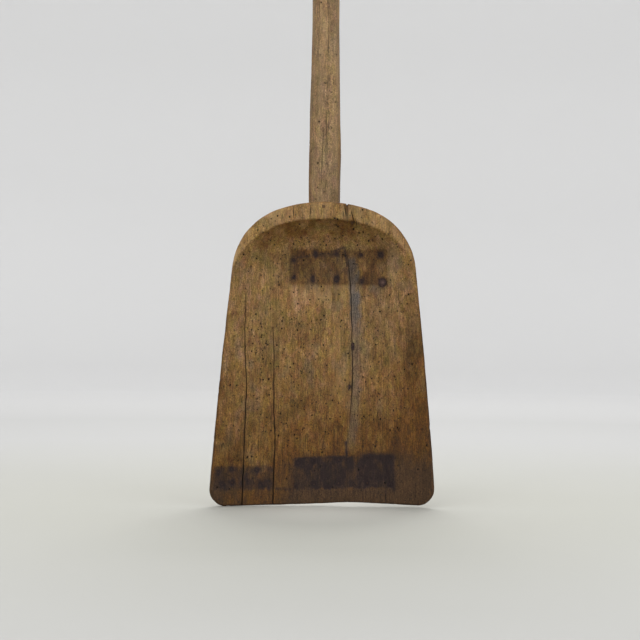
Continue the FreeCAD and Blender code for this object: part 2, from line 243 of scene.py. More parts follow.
def segment_distance(points, starts, ends):
    """Distance from each plan point to the nearest of the segments."""
    nearest = np.full(len(points), 1e9)
    step = ends - starts
    length2 = np.maximum((step ** 2).sum(1), 1e-12)
    for first in range(0, len(points), 2000):
        block = points[first:first + 2000, None, :]
        along = np.clip(((block - starts) * step).sum(2) / length2, 0, 1)
        gap = block - starts - along[..., None] * step
        nearest[first:first + 2000] = np.sqrt((gap ** 2).sum(2)).min(1)
    return nearest


def ring_distance(points, loop):
    """Distance from each plan point to a closed loop."""
    return segment_distance(points, loop, np.roll(loop, -1, axis=0))


def line_distance(points, line):
    """Distance from each plan point to an open line."""
    line = np.array(line, float)
    return segment_distance(points, line[:-1], line[1:])


def resample(line, step, closed=False):
    """Evenly spaced points along a line."""
    line = np.array(line, float)
    if closed:
        line = np.vstack([line, line[:1]])
    run = np.concatenate([[0], np.cumsum(np.hypot(*np.diff(line, axis=0).T))])
    count = max(int(run[-1] / step), 2)
    places = np.linspace(0, run[-1], count + 1)[:-1 if closed else None]
    return np.column_stack([np.interp(places, run, line[:, k]) for k in (0, 1)])


def node_plan(name):
    """The vertices of a CAD node in plan."""
    return np.array([(v.co.x / MM, v.co.z / MM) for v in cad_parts[name].data.vertices])


def worn_outline():
    """The scoop's outline, anticlockwise, with the lip worn back at the split and small nicks all round."""
    corners = np.vstack([node_plan("scoop_body"), node_plan("split_board")])
    hull = corners[convex_hull_2d([Vector(p) for p in corners])]
    if np.sum(hull[:, 0] * np.roll(hull[:, 1], -1) - np.roll(hull[:, 0], -1) * hull[:, 1]) < 0:
        hull = hull[::-1]
    right = node_plan("split_board")
    foot = right[right[:, 1] < 10]
    foot = foot[np.argmin(foot[:, 0])]
    base = [n for n in range(len(hull)) if hull[n, 1] < 0.5 and hull[(n + 1) % len(hull), 1] < 0.5
            and hull[n, 0] < foot[0] < hull[(n + 1) % len(hull), 0]][0]
    hull = np.insert(hull, base + 1, foot, axis=0)
    line = resample(hull, LOOP_STEP, closed=True)
    along = np.roll(line, -1, axis=0) - np.roll(line, 1, axis=0)
    inward = np.column_stack([-along[:, 1], along[:, 0]]) / np.hypot(*along.T)[:, None]
    x, z = line.T
    wear = 0.4 * noise(x / 23, 0, z / 23, 1) + 0.2 * noise(x / 6, 0, z / 6, 2)
    wear += 2.5 * np.maximum(noise(x / 8, 0, z / 8, 3) - 0.82, 0)
    wear += looked_up(x, LIP_LOSS) * ramp(z, 26, 4)
    return line + inward * wear[:, None]


def ragged(line, reach, seed):
    """A crack's line with the small sideways steps of splitting wood."""
    line = resample(line, 2.2)
    sway = (noise(0, 0, line[:, 1] / 7, seed) - 0.5) + 0.5 * (noise(0, 0, line[:, 1] / 2.5, seed + 1) - 0.5)
    return line + np.column_stack([reach * sway, np.zeros(len(line))])


def board_loop(outline, side):
    """A board's loop in plan, anticlockwise, as (x, z, is crack). side is -1 left of the split."""
    keep = (outline[:, 0] - split_x(outline[:, 1])) * side > 0.6
    first = [n for n in range(len(keep)) if keep[n] and not keep[n - 1]][0]
    arc = np.roll(outline, -first, axis=0)[:int(keep.sum())]
    split = ragged(SPLIT_LINE, 0.9, 20)
    ends = sorted((arc[0, 1], arc[-1, 1]))
    split = split[(split[:, 1] > ends[0] + 0.6) & (split[:, 1] < ends[1] - 0.6)]
    split[:, 0] += side * split_gap(split[:, 1]) / 2
    split = split[::-side]
    return np.vstack([np.pad(arc, ((0, 0), (0, 1))), np.pad(split, ((0, 0), (0, 1)), constant_values=1)])


def add_check(loop, line, seed):
    """The loop with a drying check cut in from the lip."""
    line = ragged(line, 0.8, seed)
    line = line[line[:, 1] > 1.5]
    half = CHECK_GAP / 2 * (1 - 0.9 * (line[:, 1] / line[-1, 1]) ** 1.5)
    half = half * (0.7 + 0.6 * noise(0, 0, line[:, 1] / 9, seed + 5))
    left = line - np.column_stack([half, 0 * half])
    right = line + np.column_stack([half, 0 * half])
    notch = np.vstack([left, line[-1:] + [[0, 1.5]], right[::-1]])
    notch = np.pad(notch, ((0, 0), (0, 1)), constant_values=1)
    at_lip = (loop[:, 1] < 8) & (np.abs(loop[:, 0] - line[0, 0]) < CHECK_GAP / 2 + 0.5)
    n = int(np.flatnonzero(at_lip)[0])
    return np.vstack([loop[:n], notch, loop[n + int(at_lip.sum()):]])


def inside(points, loop):
    """Which plan points lie inside a loop."""
    a, b = loop, np.roll(loop, -1, axis=0)
    result = np.zeros(len(points), bool)
    for first in range(0, len(points), 2000):
        x, z = points[first:first + 2000].T[..., None]
        crossing = (a[:, 1] > z) != (b[:, 1] > z)
        rise = np.where(b[:, 1] == a[:, 1], 1, b[:, 1] - a[:, 1])
        at = a[:, 0] + (z - a[:, 1]) * (b[:, 0] - a[:, 0]) / rise
        result[first:first + 2000] = (np.sum(crossing & (x < at), axis=1) % 2) == 1
    return result


def grid(low, high, step):
    """Staggered points over a rectangle in plan."""
    rows = np.arange(low[1], high[1], step * 0.866)
    columns = np.arange(low[0], high[0], step)
    x, z = np.meshgrid(columns, rows)
    x[1::2] += step / 2
    points = np.column_stack([x.ravel(), z.ravel()])
    shake = np.column_stack([lattice(np.arange(len(points)), 0, 0, s) - 0.5 for s in (8, 9)])
    return points + 0.3 * step * shake


def ring(x, z, half_x, half_z, corners, turn=0.0):
    """An oval ring of points in plan, anticlockwise."""
    angles = turn + np.arange(corners) * 2 * math.pi / corners
    return np.column_stack([x + half_x * np.cos(angles), z + half_z * np.sin(angles)])


def worm_hole(x, z):
    """A flight hole: (ring, depth)."""
    radius = random.choice((0.4, 0.5, 0.55, 0.6, 0.6, 0.7, 0.8, 1.0))
    stretch = random.uniform(1.0, 1.35)
    return ring(x, z, radius, radius * stretch, 7, random.random()), random.uniform(2.0, 5.0)


def hairline(x, low, high, width, depth, lean):
    """A shallow crack along the grain: (ring, depth)."""
    count = max(int((high - low) / 2.2), 3)
    z = np.linspace(low, high, count + 1)
    sway = 0.7 * (noise(x, 0, z / 5, 31) - 0.5) + lean * ((z - low) / (high - low) - 0.5)
    half = width / 2 * np.sqrt(np.maximum(1 - ((z - z.mean()) / (high - low) * 2) ** 2, 0.02))
    left, right = np.column_stack([x + sway - half, z]), np.column_stack([x + sway + half, z])
    return np.vstack([right, left[::-1]]), depth


def short_of_edge(crack, loop):
    """The ring of a shallow crack, cut short where it would run out over the edge, and its depth."""
    x, low, high, *shape = crack
    while True:
        closed, depth = hairline(x, low, high, *shape)
        out = ~inside(closed, loop) | (ring_distance(closed, loop) < EDGE_GAP)
        if not out.any() or high - low < 2.2:
            return closed, depth
        if closed[out, 1].mean() > (low + high) / 2:
            high -= 0.4
        else:
            low += 0.4


def rings_touch(a, b):
    """Whether two rings cross, meet or lie one inside the other."""
    if inside(a, b).any() or inside(b, a).any():
        return True
    return min(ring_distance(a, b).min(),
               ring_distance(b, a).min()) < RING_GAP


def separate(holes):
    """The holes that don't run into one listed before them."""
    centres = [closed.mean(axis=0) for closed, depth in holes]
    reaches = [np.hypot(*(closed - centre).T).max() for (closed, depth), centre in zip(holes, centres)]
    kept = []
    for n, (closed, depth) in enumerate(holes):
        near = [m for m in kept
                if math.hypot(*(centres[n] - centres[m])) < reaches[n] + reaches[m] + RING_GAP]
        if not any(rings_touch(closed, holes[m][0]) for m in near):
            kept.append(n)
    return [holes[n] for n in kept]


def scattered(places, loop, keep_out, gap):
    """Those places that are inside the loop, clear of its edge, of each other and of what is listed."""
    places = places[inside(places, loop)]
    places = places[ring_distance(places, loop) > 2.6]
    chosen = []
    for place in places:
        clear = all(math.hypot(*(place - k[:2])) > k[2] for k in keep_out)
        if clear and all(math.hypot(*(place - c)) > gap for c in chosen):
            chosen.append(place)
    return chosen


def worm_places(count, low, high, clusters):
    """Random places over a rectangle, with closer groups: (x, z, spread, how many)."""
    places = [(random.uniform(low[0], high[0]), random.uniform(low[1], high[1])) for _ in range(count)]
    for x, z, spread, many in clusters:
        places += [(random.gauss(x, spread), random.gauss(z, spread * 1.3)) for _ in range(many)]
    return np.array(places)


def triangulate(loop, rings, spread):
    """Triangles that fill the loop but not the rings: places, triangles, and where each given point went."""
    points = np.vstack([loop] + rings + [spread])
    edges, owner, start = [], np.full(len(points), -1), 0
    for number, closed in enumerate([loop] + rings):
        count = len(closed)
        edges += [(start + n, start + (n + 1) % count) for n in range(count)]
        if number:
            owner[start:start + count] = number
        start += count
    made = delaunay_2d_cdt([Vector(p) for p in points], edges, [], 1, 1e-5)
    places = np.array([v[:] for v in made[0]])
    triangles = np.array(made[2])
    went = np.zeros(len(points), int)
    new_owner = np.full(len(places), -1)
    for new, olds in enumerate(made[3]):
        for old in olds:
            went[old] = new
            new_owner[new] = max(new_owner[new], owner[old])
    ringed = new_owner[triangles]
    hole = (ringed[:, 0] >= 0) & (ringed[:, 0] == ringed[:, 1]) & (ringed[:, 1] == ringed[:, 2])
    for n in np.flatnonzero(hole):
        hole[n] = inside(places[triangles[n]].mean(axis=0)[None], rings[ringed[n, 0] - 1])[0]
    return places, triangles[~hole], went


def rounding(distance, radius):
    """How far a rounded edge falls away at a distance from it."""
    near = np.clip(radius - distance, 0, radius)
    return radius - np.sqrt(radius ** 2 - near ** 2)


def soft_box(x, z, box, edge):
    """1 inside a box in plan and 0 outside, with soft edges."""
    left, right, bottom, top = box
    sides = (x - left, right - x, z - bottom, top - z)
    result = np.ones(x.shape)
    for side in sides:
        result = result * smooth_step(side / edge + 0.5)
    return result


def spots(x, z, places, radius):
    """1 at each of the places, fading over the radius and a little further along the grain."""
    result = np.zeros(x.shape)
    for px, pz in places:
        result = np.maximum(result, np.exp(-((x - px) ** 2 + ((z - pz) / 1.25) ** 2) / radius ** 2))
    return result


def stroke(x, z, start, end, radius):
    """1 along a straight stroke, fading over the radius."""
    return bell(line_distance(np.column_stack([x, z]), [start, end]), 0, radius)


def nail_places(prefix):
    """Where the nails of one patch stand in plan."""
    boxes = [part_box(name) for name in sorted(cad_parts) if name.startswith(prefix)]
    return [((low[0] + high[0]) / 2 / MM, (low[2] + (high[0] - low[0]) / 2) / MM) for low, high in boxes]


CROWN_NAILS = nail_places("crown_patch_nail")
LIP_NAILS = nail_places("lip_patch_nail")
CORNER_NAILS = nail_places("corner_patch_nail")
SEAM_NAILS = [(35.3, 191.8), (32.5, 142.5)]
# Stains along the edges of the lost patches and the split: (start, end, radius, strength)
IRON_STROKES = [
    ((-10, 301), (15, 302), 4.2, 0.95), ((-37, 297), (-14, 300), 1.6, 0.85),
    ((9, 305), (24, 310), 1.8, 1.0), ((24, 310), (28, 288), 1.8, 1.0), ((28, 300), (42, 301), 1.3, 0.5),
    ((-40, 294), (-38, 276), 2.0, 0.4), ((-59, 21.5), (-30, 20.5), 1.5, 0.7),
    ((29.0, 60), (28.2, 77), 1.9, 1.1), ((26, 344), (28, 362), 3.0, 0.4),
    ((-33, 56), (-33.5, 21), 2.4, 0.8), ((-32, 56), (-10, 23), 2.2, 0.75),
    ((50, 60), (84, 60), 4.6, 1.3), ((84, 60), (85.5, 22), 2.4, 1.15), ((54, 56), (53, 24), 2.2, 1.1),
    ((-30, 57), (26, 60), 1.8, 1.0), ((76, 20), (76, 3), 0.9, 0.8), ((-35, 20), (-35, 3), 0.8, 0.5)]
# Where dirt has gathered or been worn off: (amount, from x to x, from z to z)
DIRT_FIELDS = [
    (0.65, (-64, -24), (74, 28)), (0.35, (-40, -80), (56, 26)), (0.30, (76, 101), (262, 202)),
    (0.40, (-45, -29), (21, 15)), (0.10, (-92, -104), (200, 120)), (0.14, (-74, -44), (130, 70)),
    (0.50, (-112, -126), (30, 10))]


def front_iron(x, z, fine, patchy, crown):
    """Iron stain, left by the lost patches, by the nails and in strokes along the edges."""
    slant = z - LIP_PATCH_RISE * (x - LIP_PATCH[0]) / (LIP_PATCH[1] - LIP_PATCH[0])
    lip = soft_box(x + 4 * (fine - 0.5), slant + 5 * (fine - 0.5), LIP_PATCH, 2.5)
    corner = soft_box(x, z + 4 * (fine - 0.5), CORNER_PATCH, 5.0)
    spared = smooth_step((-10 - x - 0.7 * (z - 23)) / 5)
    worn = 0.05 * bell(x, 43, 9) * ramp(slant, 51, 46)
    stains = [crown * (0.30 + 0.12 * patchy),
              lip * (1.06 + 0.50 * (patchy - 0.5)) * (1 - 0.36 * spared - worn),
              corner * (0.68 + 0.40 * (patchy - 0.3)),
              spots(x, z, CROWN_NAILS[:-1], 5.2) * (1.0 + 0.4 * patchy),
              spots(x, z, CROWN_NAILS, 11.0) * 0.5 * (0.4 + 0.8 * patchy),
              spots(x, z, CROWN_NAILS[-1:], 6.6) * 1.2,
              spots(x, z, LIP_NAILS, 5.5) * (0.5 + 1.2 * lip),
              spots(x, z, CORNER_NAILS, 5.5) * (0.5 + 0.9 * corner),
              spots(x, z, SEAM_NAILS, 3.6) * 0.8]
    stains += [stroke(x, z, start, end, radius) * share for start, end, radius, share in IRON_STROKES]
    iron = np.maximum.reduce(stains) - 0.6 * spots(x, z, [BARE_SPOT], 3.4) * (0.5 + fine)
    return iron * (0.78 + 0.75 * (fine - 0.3))


def front_grey(x, z, cloud, fine, patchy):
    """Grey weathering, and the strip of it along the split by itself."""
    beside = x - split_x(z)
    strip = smooth_step((beside + 3 + 4 * (fine - 0.5)) / 4)
    strip = strip * smooth_step((14 - beside + 9 * (fine - 0.5)) / 7) * ramp(z, 302, 294) * ramp(z, 56, 86)
    strip = strip * (0.42 + 0.55 * cloud + 0.40 * fine) * (0.75 + 0.5 * ramp(z, 195, 235))
    grey = [strip,
            0.8 * bell(x, 58, 11) * bell(z, 262, 12) * patchy,
            0.3 * smooth_step((0.36 - cloud) * 9) * ramp(z, 330, 290),
            0.24 * bell(x, 72, 20) * bell(z, 226, 30) * (0.5 + fine),
            0.6 * bell(x, 104, 9) * bell(z, 188, 34) * (0.4 + 0.9 * fine),
            0.6 * ramp(x, -118, -110) * ramp(x, -104, -110) * bell(z, 82, 13)]
    return np.maximum.reduce(grey), np.clip(strip, 0, 1)


def front_dirt_and_shade(x, z, cloud, fine, patchy, crown):
    """Dirt and painted shade: darker towards the lip, partly dirt and partly painted shade; dirtier at the
    sides and where the patches were; painted shade in the cove under the rim and along the rim's inner
    crease.
    """
    reach, upward = hollow_reach(x, z)
    below = (1 - reach) * HOLLOW_HEIGHT + 12 * (patchy - 0.5)
    under_rim = smooth_step((1.0 - reach) * 90) * ramp(below, 30, 16) * (1 - 0.18 * ramp(x, 20, 50))
    # Darker towards the lip: partly dirt and partly painted shade.
    dirt = 0.85 * ramp(z, 290, -10) ** 0.8 - 0.06 * ramp(x, -60, -80)
    for amount, sideways, upwards in DIRT_FIELDS:
        dirt = dirt + amount * ramp(x, *sideways) * ramp(z, *upwards)
    dirt = dirt - 0.34 * ramp(x, -78, -92) * ramp(z, 240, 260) * ramp(z, 322, 308)
    # Painted shade, with some dirt, in the cove under the rim.
    dirt = dirt + 0.62 * under_rim * upward * (0.4 + 1.1 * patchy)
    dirt = dirt + 0.9 * stroke(x, z, (26, 360), (34, 337), 3.2) * smooth_step(2.4 * fine - 0.7)
    dirt = dirt + crown * (0.40 + 0.35 * cloud + 0.22 * patchy) + 0.20 * bell(x, 106, 9) * bell(z, 182, 34)
    # A thin line of painted shade along the rim's inner crease.
    dirt = dirt + 0.30 * bell((reach - 1) * HOLLOW_HEIGHT, 0, 1.6) * smooth_step(1.6 * upward - 0.3)
    dirt = dirt + 0.10 * smooth_step((reach - 1) * 40) * ramp(x, -40, -10)
    return dirt + 0.55 * (cloud - 0.5) + 0.50 * (fine - 0.5)


def front_pale(x, z, fine):
    """Pale wear on the rim, below the crown's patch and along the split."""
    beside = x - split_x(z)
    rim = smooth_step((hollow_reach(x, z)[0] - 1) * 40) * ramp(z, 200, 260)
    torn = smooth_step((268 - z + 7 * (fine - 0.5)) / 4) * ramp(z, 238, 254) * ramp(x, -44, -34)
    pale = [0.55 * bell(x, 82, 4) * ramp(z, 262, 268) * ramp(z, 312, 304),
            0.60 * torn * ramp(x, 38, 28),
            0.45 * bell(beside, -14, 9) * ramp(z, 95, 135) * ramp(z, 262, 252),
            (0.40 + 0.85 * ramp(x, -50, -80)) * rim]
    pale = np.maximum.reduce(pale) * smooth_step(2.4 * layered(x / 7, 0, z / 22, 47) - 0.6)
    return np.maximum(pale, 0.45 * bell(beside, -0.6, 1.1) * ramp(z, 60, 54) * (0.4 + fine))


def front_paint(x, z):
    """Masks for the front of the scoop: iron stain, grey, dirt with painted shade, and pale wear."""
    cloud = layered(x / 17, 0, z / 24, 40)
    fine = layered(x / 3.2, 0, z / 7, 44)
    patchy = smooth_step(2.0 * layered(x / 8, 0, z / 12, 48) - 0.5)
    crown = soft_box(x, z, CROWN_PATCH, 5.0)
    grey, strip = front_grey(x, z, cloud, fine, patchy)
    return {"iron": front_iron(x, z, fine, patchy, crown), "grey": grey,
            "dirt": front_dirt_and_shade(x, z, cloud, fine, patchy, crown) * (1 - 0.6 * strip),
            "pale": front_pale(x, z, fine)}


def back_paint(x, z):
    """The same masks for the back, which has only the stains of nails that come through."""
    cloud = layered(x / 21, 5, z / 34, 50)
    fine = layered(x / 3.2, 5, z / 11, 54)
    iron = spots(x, z, [(px, pz + 3) for px, pz in LIP_NAILS + CORNER_NAILS], 6.0) * 0.85
    iron = np.maximum(iron, 0.30 * soft_box(x, z, LIP_PATCH, 16.0) * cloud) * (0.7 + 0.6 * fine)
    beside = x - split_x(z)
    grey = bell(beside, 3, 9) * 0.5 * cloud + 0.5 * smooth_step((0.40 - cloud) * 7)
    dirt = 0.28 * ramp(z, 200, -20) + 0.4 * (cloud - 0.5) + 0.16 * (fine - 0.5) + 0.06
    keel = bell(x, 0, 20) * ramp(z, 150, 230)
    pale = np.maximum(0.5 * keel, 0.4 * ramp(z, 26, 6)) * smooth_step(2.2 * cloud - 0.5)
    return {"iron": iron, "grey": grey, "dirt": dirt, "pale": pale}


def openness(x, z):
    """How far the nearest crack stands open, as a share of the widest."""
    return np.where(np.abs(x - split_x(z)) < 4, np.minimum(split_gap(z) / SPLIT_OPEN, 1.0), 1.0)


def carved_front(x, z, edge, crack, nails):
    """The finished front face, with worn edges, tool marks, raised grain and hollows round the nails."""
    y = front_y(x, z) + rounding(edge, FRONT_EDGE_RADIUS)
    y = y + openness(x, z) * rounding(crack, CRACK_EDGE_RADIUS)
    y = y + 1.0 * (noise(x / 24, 0, z / 62, 60) - 0.5) + 0.35 * (noise(x / 9, 0, z / 26, 61) - 0.5)
    gouge = np.abs((x / 13 + 1.6 * noise(0, 0, z / 60, 62)) % 1 - 0.5) * 2
    y = y - 0.30 * gouge ** 3 * ramp(z, 285, 315) * smooth_step((hollow_y(x, z) - rim_y(z)) / 4)
    y = y + 0.16 * (noise(x / 2.4, 0, z / 45, 63) - 0.5)
    for box in (CROWN_PATCH, LIP_PATCH, CORNER_PATCH):
        y = y + 0.22 * soft_box(x, z, box, 2.5)
    return y + 0.45 * spots(x, z, nails, 4.0)


def carved_back(x, z, edge, crack, nails):
    """The finished back face, with adze facets that wear away towards the lip."""
    y = back_y(x, z) - rounding(edge, BACK_EDGE_RADIUS) - rounding(crack, CRACK_EDGE_RADIUS)
    facet = np.abs((x / 21 + 2.2 * noise(0, 0, z / 55, 70)) % 1 - 0.5) * 2
    y = y - 0.55 * facet ** 2 * ramp(z, 40, 160)
    y = y + 1.1 * (noise(x / 30, 3, z / 55, 71) - 0.5) + 0.16 * (noise(x / 2.6, 3, z / 45, 72) - 0.5)
    return y - 0.35 * spots(x, z, nails, 4.0)


def clear_of(points, rings, gap):
    """The points that are outside every ring and not too near one."""
    keep = np.ones(len(points), bool)
    for closed in rings:
        low, high = closed.min(axis=0) - gap, closed.max(axis=0) + gap
        near = np.flatnonzero(np.all((points > low) & (points < high), axis=1))
        if len(near):
            distance = ring_distance(points[near], closed)
            keep[near[(distance < gap) | inside(points[near], closed)]] = False
    return points[keep]


def rows_inside(loop, steps):
    """Rows of points that follow a loop just inside it."""
    along = np.roll(loop, -1, axis=0) - np.roll(loop, 1, axis=0)
    inward = np.column_stack([-along[:, 1], along[:, 0]]) / np.maximum(np.hypot(*along.T), 1e-9)[:, None]
    rows = []
    for step in steps:
        row = loop + inward * step
        row = row[ring_distance(row, loop) > 0.85 * step]
        rows.append(row[inside(row, loop)])
    return np.vstack(rows)


def rim_edge(offsets):
    """Rows of points along the inner edge of the rim, which is a sharp corner."""
    up = np.arange(0.0, math.pi, 0.9 / HOLLOW_HALF_WIDTH)
    power = 2 / HOLLOW_CORNER_POWER
    side = np.arange(0.0, HOLLOW_CENTRE_Z, 1.1)
    rows = []
    for offset in offsets:
        half, rise = HOLLOW_HALF_WIDTH + offset, HOLLOW_HEIGHT + offset
        x = np.sign(np.cos(up)) * np.abs(np.cos(up)) ** power * half
        rows.append(np.column_stack([x, HOLLOW_CENTRE_Z + np.sin(up) ** power * rise]))
        for sign in (-1, 1):
            rows.append(np.column_stack([sign * (half_width(side, half)), side]))
    return np.vstack(rows)


def filled(loop, holes, step, rows, crease=None):
    """The loop's inside as a fine triangle mesh with holes cut in it, and points along a crease."""
    rings = [closed for closed, depth in holes]
    spread = grid(loop.min(axis=0), loop.max(axis=0), step)
    if crease is not None:
        to_rim = (hollow_reach(*spread.T)[0] - 1) * HOLLOW_HEIGHT
        spread = np.vstack([spread[np.abs(to_rim) > RIM_CLEARANCE], crease])
    spread = spread[inside(spread, loop)]
    spread = spread[ring_distance(spread, loop) > max(rows) + 0.4 * step]
    spread = clear_of(np.vstack([rows_inside(loop, rows), spread]), rings, HOLE_GAP)
    return triangulate(loop, rings, spread)


def hole_rings(holes, went, first, start=0):
    """Each hole with the vertices of its ring: (ring, depth, vertices)."""
    result = []
    for closed, depth in holes:
        result.append((closed, depth, [start + went[first + n] for n in range(len(closed))]))
        first += len(closed)
    return result


def darkened(dark, places, holes):
    """The darkness at each place, with a border of painted shade round each hole."""
    for closed, depth in holes:
        near = np.hypot(*(places - closed.mean(axis=0)).T) < 3.0
        dark[near] = np.maximum(dark[near], 0.22 * bell(ring_distance(places[near], closed), 0, 0.6))
    return dark


def drawn_in(rim, share):
    """A hole's ring as it is a share of the way down, where the hole is narrower."""
    middle = rim.mean(axis=0)
    return middle + (rim - middle) * (1 - PIT_TAPER * share)


def pit(points, faces, surface, ring_at):
    """The walls and floor of one hole. surface is the hole's rim, and ring_at(share) its ring further in."""
    count = len(surface)
    levels = [surface]
    for share in (0.5, 1.0):
        start = len(points)
        points.extend(ring_at(share))
        levels.append(list(range(start, start + count)))
    centre = len(points)
    points.append(np.mean(points[levels[-1][0]:], axis=0))
    for upper, lower in zip(levels, levels[1:]):
        faces += [(upper[n], upper[(n + 1) % count], lower[(n + 1) % count], lower[n]) for n in range(count)]
    bottom = levels[-1]
    faces += [(bottom[n], bottom[(n + 1) % count], centre) for n in range(count)]


def new_piece(name, points, faces, paint, hole, node, material):
    """A mesh in place of a CAD node, in metres, with its paint masks."""
    mesh = bpy.data.meshes.new(name)
    mesh.from_pydata((np.array(points) * MM).tolist(), [], faces)
    for mask, values in {**paint, "hole": hole}.items():
        full = np.zeros(len(mesh.vertices), np.float32)
        full[:len(values)] = values
        mesh.attributes.new(mask, "FLOAT", "POINT").data.foreach_set("value", full)
    mesh.validate()
    mesh.shade_smooth()
    mesh.set_sharp_from_angle(angle=SHARP_ANGLE)
    mesh.materials.append(material)
    piece = bpy.data.objects.new(name, mesh)
    bpy.context.collection.objects.link(piece)
    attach(piece, "root")
    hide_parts(node)


def join_faces(points, faces, hole, paint, is_crack, front, back):
    """The edge of a board, between the outlines of its two faces."""
    count = len(front)
    rows = [front]
    for level in range(1, WALL_ROWS):
        share = level / WALL_ROWS
        rows.append(list(range(len(points), len(points) + count)))
        points.extend([points[a] * (1 - share) + points[b] * share for a, b in zip(front, back)])
    rows.append(back)
    for upper, lower in zip(rows, rows[1:]):
        for n in range(count):
            m = (n + 1) % count
            faces.append((upper[n], lower[n], lower[m], upper[m]))
    x, y, z = np.array(points[rows[1][0]:]).T
    cloud = layered(x / 14, y / 14, z / 20, 80)
    lip = ramp(z, 8, 2)
    paint["iron"].append(0 * x)
    paint["grey"].append(0.5 * cloud * (1 - lip))
    paint["dirt"].append(0.7 + 0.5 * (cloud - 0.5) - 0.3 * lip)
    paint["pale"].append(0.25 * lip)
    # Painted shade on the walls of the cracks.
    hole.append(np.tile(np.where(is_crack, 0.9, 0.0), WALL_ROWS - 1))


def board(name, node, loop, nails, front_holes, back_holes, material):
    """One board of the scoop: two carved faces joined round the loop, with their holes."""
    plan, is_crack = loop[:, :2], loop[:, 2] > 0
    crack_segment = is_crack & np.roll(is_crack, -1)
    ends = np.roll(plan, -1, axis=0)
    points, faces, hole, outlines, pits = [], [], [], [], []
    paint = {mask: [] for mask in MASKS}
    for front in (True, False):
        holes = separate(front_holes if front else back_holes)
        if front:
            places, triangles, went = filled(plan, holes, FRONT_STEP, FRONT_ROWS, rim_edge(RIM_ROWS))
        else:
            places, triangles, went = filled(plan, holes, BACK_STEP, BACK_ROWS)
        x, z = places.T
        edge = segment_distance(places, plan[~crack_segment], ends[~crack_segment])
        crack = segment_distance(places, plan[crack_segment], ends[crack_segment])
        y = (carved_front if front else carved_back)(x, z, edge, crack, nails)
        start = len(points)
        points.extend(np.column_stack([x if front else x + crack_slant(x, z), y, z]))
        faces.extend(((triangles if front else triangles[:, ::-1]) + start).tolist())
        masks = (front_paint if front else back_paint)(x, z)
        # Painted shade along the rounded outer edges of the boards, added to the dirt mask.
        masks["dirt"] = masks["dirt"] + 0.7 * bell(edge, 0, 1.5)
        for mask in MASKS:
            paint[mask].append(masks[mask])
        # Painted shade along open cracks and round the holes, in the hole mask.
        hole.append(darkened(0.7 * openness(x, z) * bell(crack, 0, 0.5), places, holes))
        outlines.append([start + went[n] for n in range(len(plan))])
        inward = 1 if front else -1
        pits += [(inward * depth, ring_vertices[::inward])
                 for closed, depth, ring_vertices in hole_rings(holes, went, len(plan), start)]
    join_faces(points, faces, hole, paint, is_crack, *outlines)
    painted = len(points)
    for depth, surface in pits:
        rim = np.array([points[n] for n in surface])
        pit(points, faces, surface, lambda share: drawn_in(rim, share) + np.array([0, depth * share, 0]))
    # The walls and floors of the holes get full painted shade.
    hole = np.concatenate(hole + [np.ones(len(points) - painted)])
    paint = {mask: np.concatenate(values) for mask, values in paint.items()}
    new_piece(name, points, faces, paint, hole, node, material)


# The handle: (height, half width, half depth) of its hewn part, then a round grip
HANDLE_Y = 15.0
HANDLE_FOOT_Z = 360.0
HANDLE_END_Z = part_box("handle")[1][2] / MM
HANDLE_SECTIONS = [
    (350.0, 18.8, 16.25), (421.0, 19.4, 16.75), (482.0, 18.2, 16.4), (519.0, 17.35, 16.15),
    (620.0, 16.0, 16.0)]
GRIP_RADIUS = 16.0
END_RADIUS, END_FLAT = 9.6, 1.2
HANDLE_STRAIGHT = HANDLE_END_Z - END_RADIUS - HANDLE_FOOT_Z
HANDLE_STEP, HANDLE_ROWS = 1.9, (0.6,)
AROUND = 2 * math.pi * 17.0
FACETS = 11
# Cracks along the handle: (mm round from the middle of its front, lowest, highest above its foot)
HANDLE_CRACKS = [
    (-3.5, 20, 84), (1.5, 52, 120), (3.0, 128, 262), (-9.0, 205, 300), (12.0, 300, 380), (-3.0, 430, 560),
    (30.0, 40, 190), (-31.0, 120, 260), (44.0, 330, 470), (-42.0, 480, 640), (22.0, 560, 690)]
# Groups of worm holes in the handle, as (round, up, spread, how many)
HANDLE_CLUSTERS = [(6, 50, 16, 9), (4, 120, 16, 10), (-30, 90, 30, 20), (28, 300, 35, 16)]


def handle_surface(u, run, inward=0.0):
    """The point u mm round the handle from the middle of its back and run mm up its side and over its end."""
    quarter = END_RADIUS * math.pi / 2
    turn = np.clip((run - HANDLE_STRAIGHT) / END_RADIUS, 0, math.pi / 2)
    over = np.maximum(run - HANDLE_STRAIGHT - quarter, 0)
    z = HANDLE_FOOT_Z + np.minimum(run, HANDLE_STRAIGHT) + END_RADIUS * np.sin(turn)
    share = (GRIP_RADIUS - END_RADIUS * (1 - np.cos(turn)) - over) / GRIP_RADIUS
    wide, deep = looked_up(z, HANDLE_SECTIONS, 0, 1), looked_up(z, HANDLE_SECTIONS, 0, 2)
    angle = math.pi / 2 + u / AROUND * 2 * math.pi
    cos, sin = np.cos(angle), np.sin(angle)
    power = 2.0 + 0.5 * ramp(z, 600, 400)
    radius = (np.abs(cos / wide) ** power + np.abs(sin / deep) ** power) ** (-1 / power)
    bend = (angle + 0.9 * (noise(0, 0, z / 130, 90) - 0.5)) % (2 * math.pi / FACETS) - math.pi / FACETS
    flat = np.cos(math.pi / FACETS) / np.cos(bend)
    radius = radius * (1 + (0.25 + 0.6 * ramp(z, 640, 480)) * (flat - 0.987))
    uneven = noise(cos * 1.1, sin * 1.1, z / 48, 91) - 0.5
    radius = radius + 1.1 * uneven * (0.35 + 0.65 * ramp(z, 700, 500))
    radius = radius + 0.16 * (noise(cos * 7, sin * 7, z / 50, 92) - 0.5)
    radius = radius * share - inward
    return np.column_stack([radius * cos, HANDLE_Y + radius * sin, z])


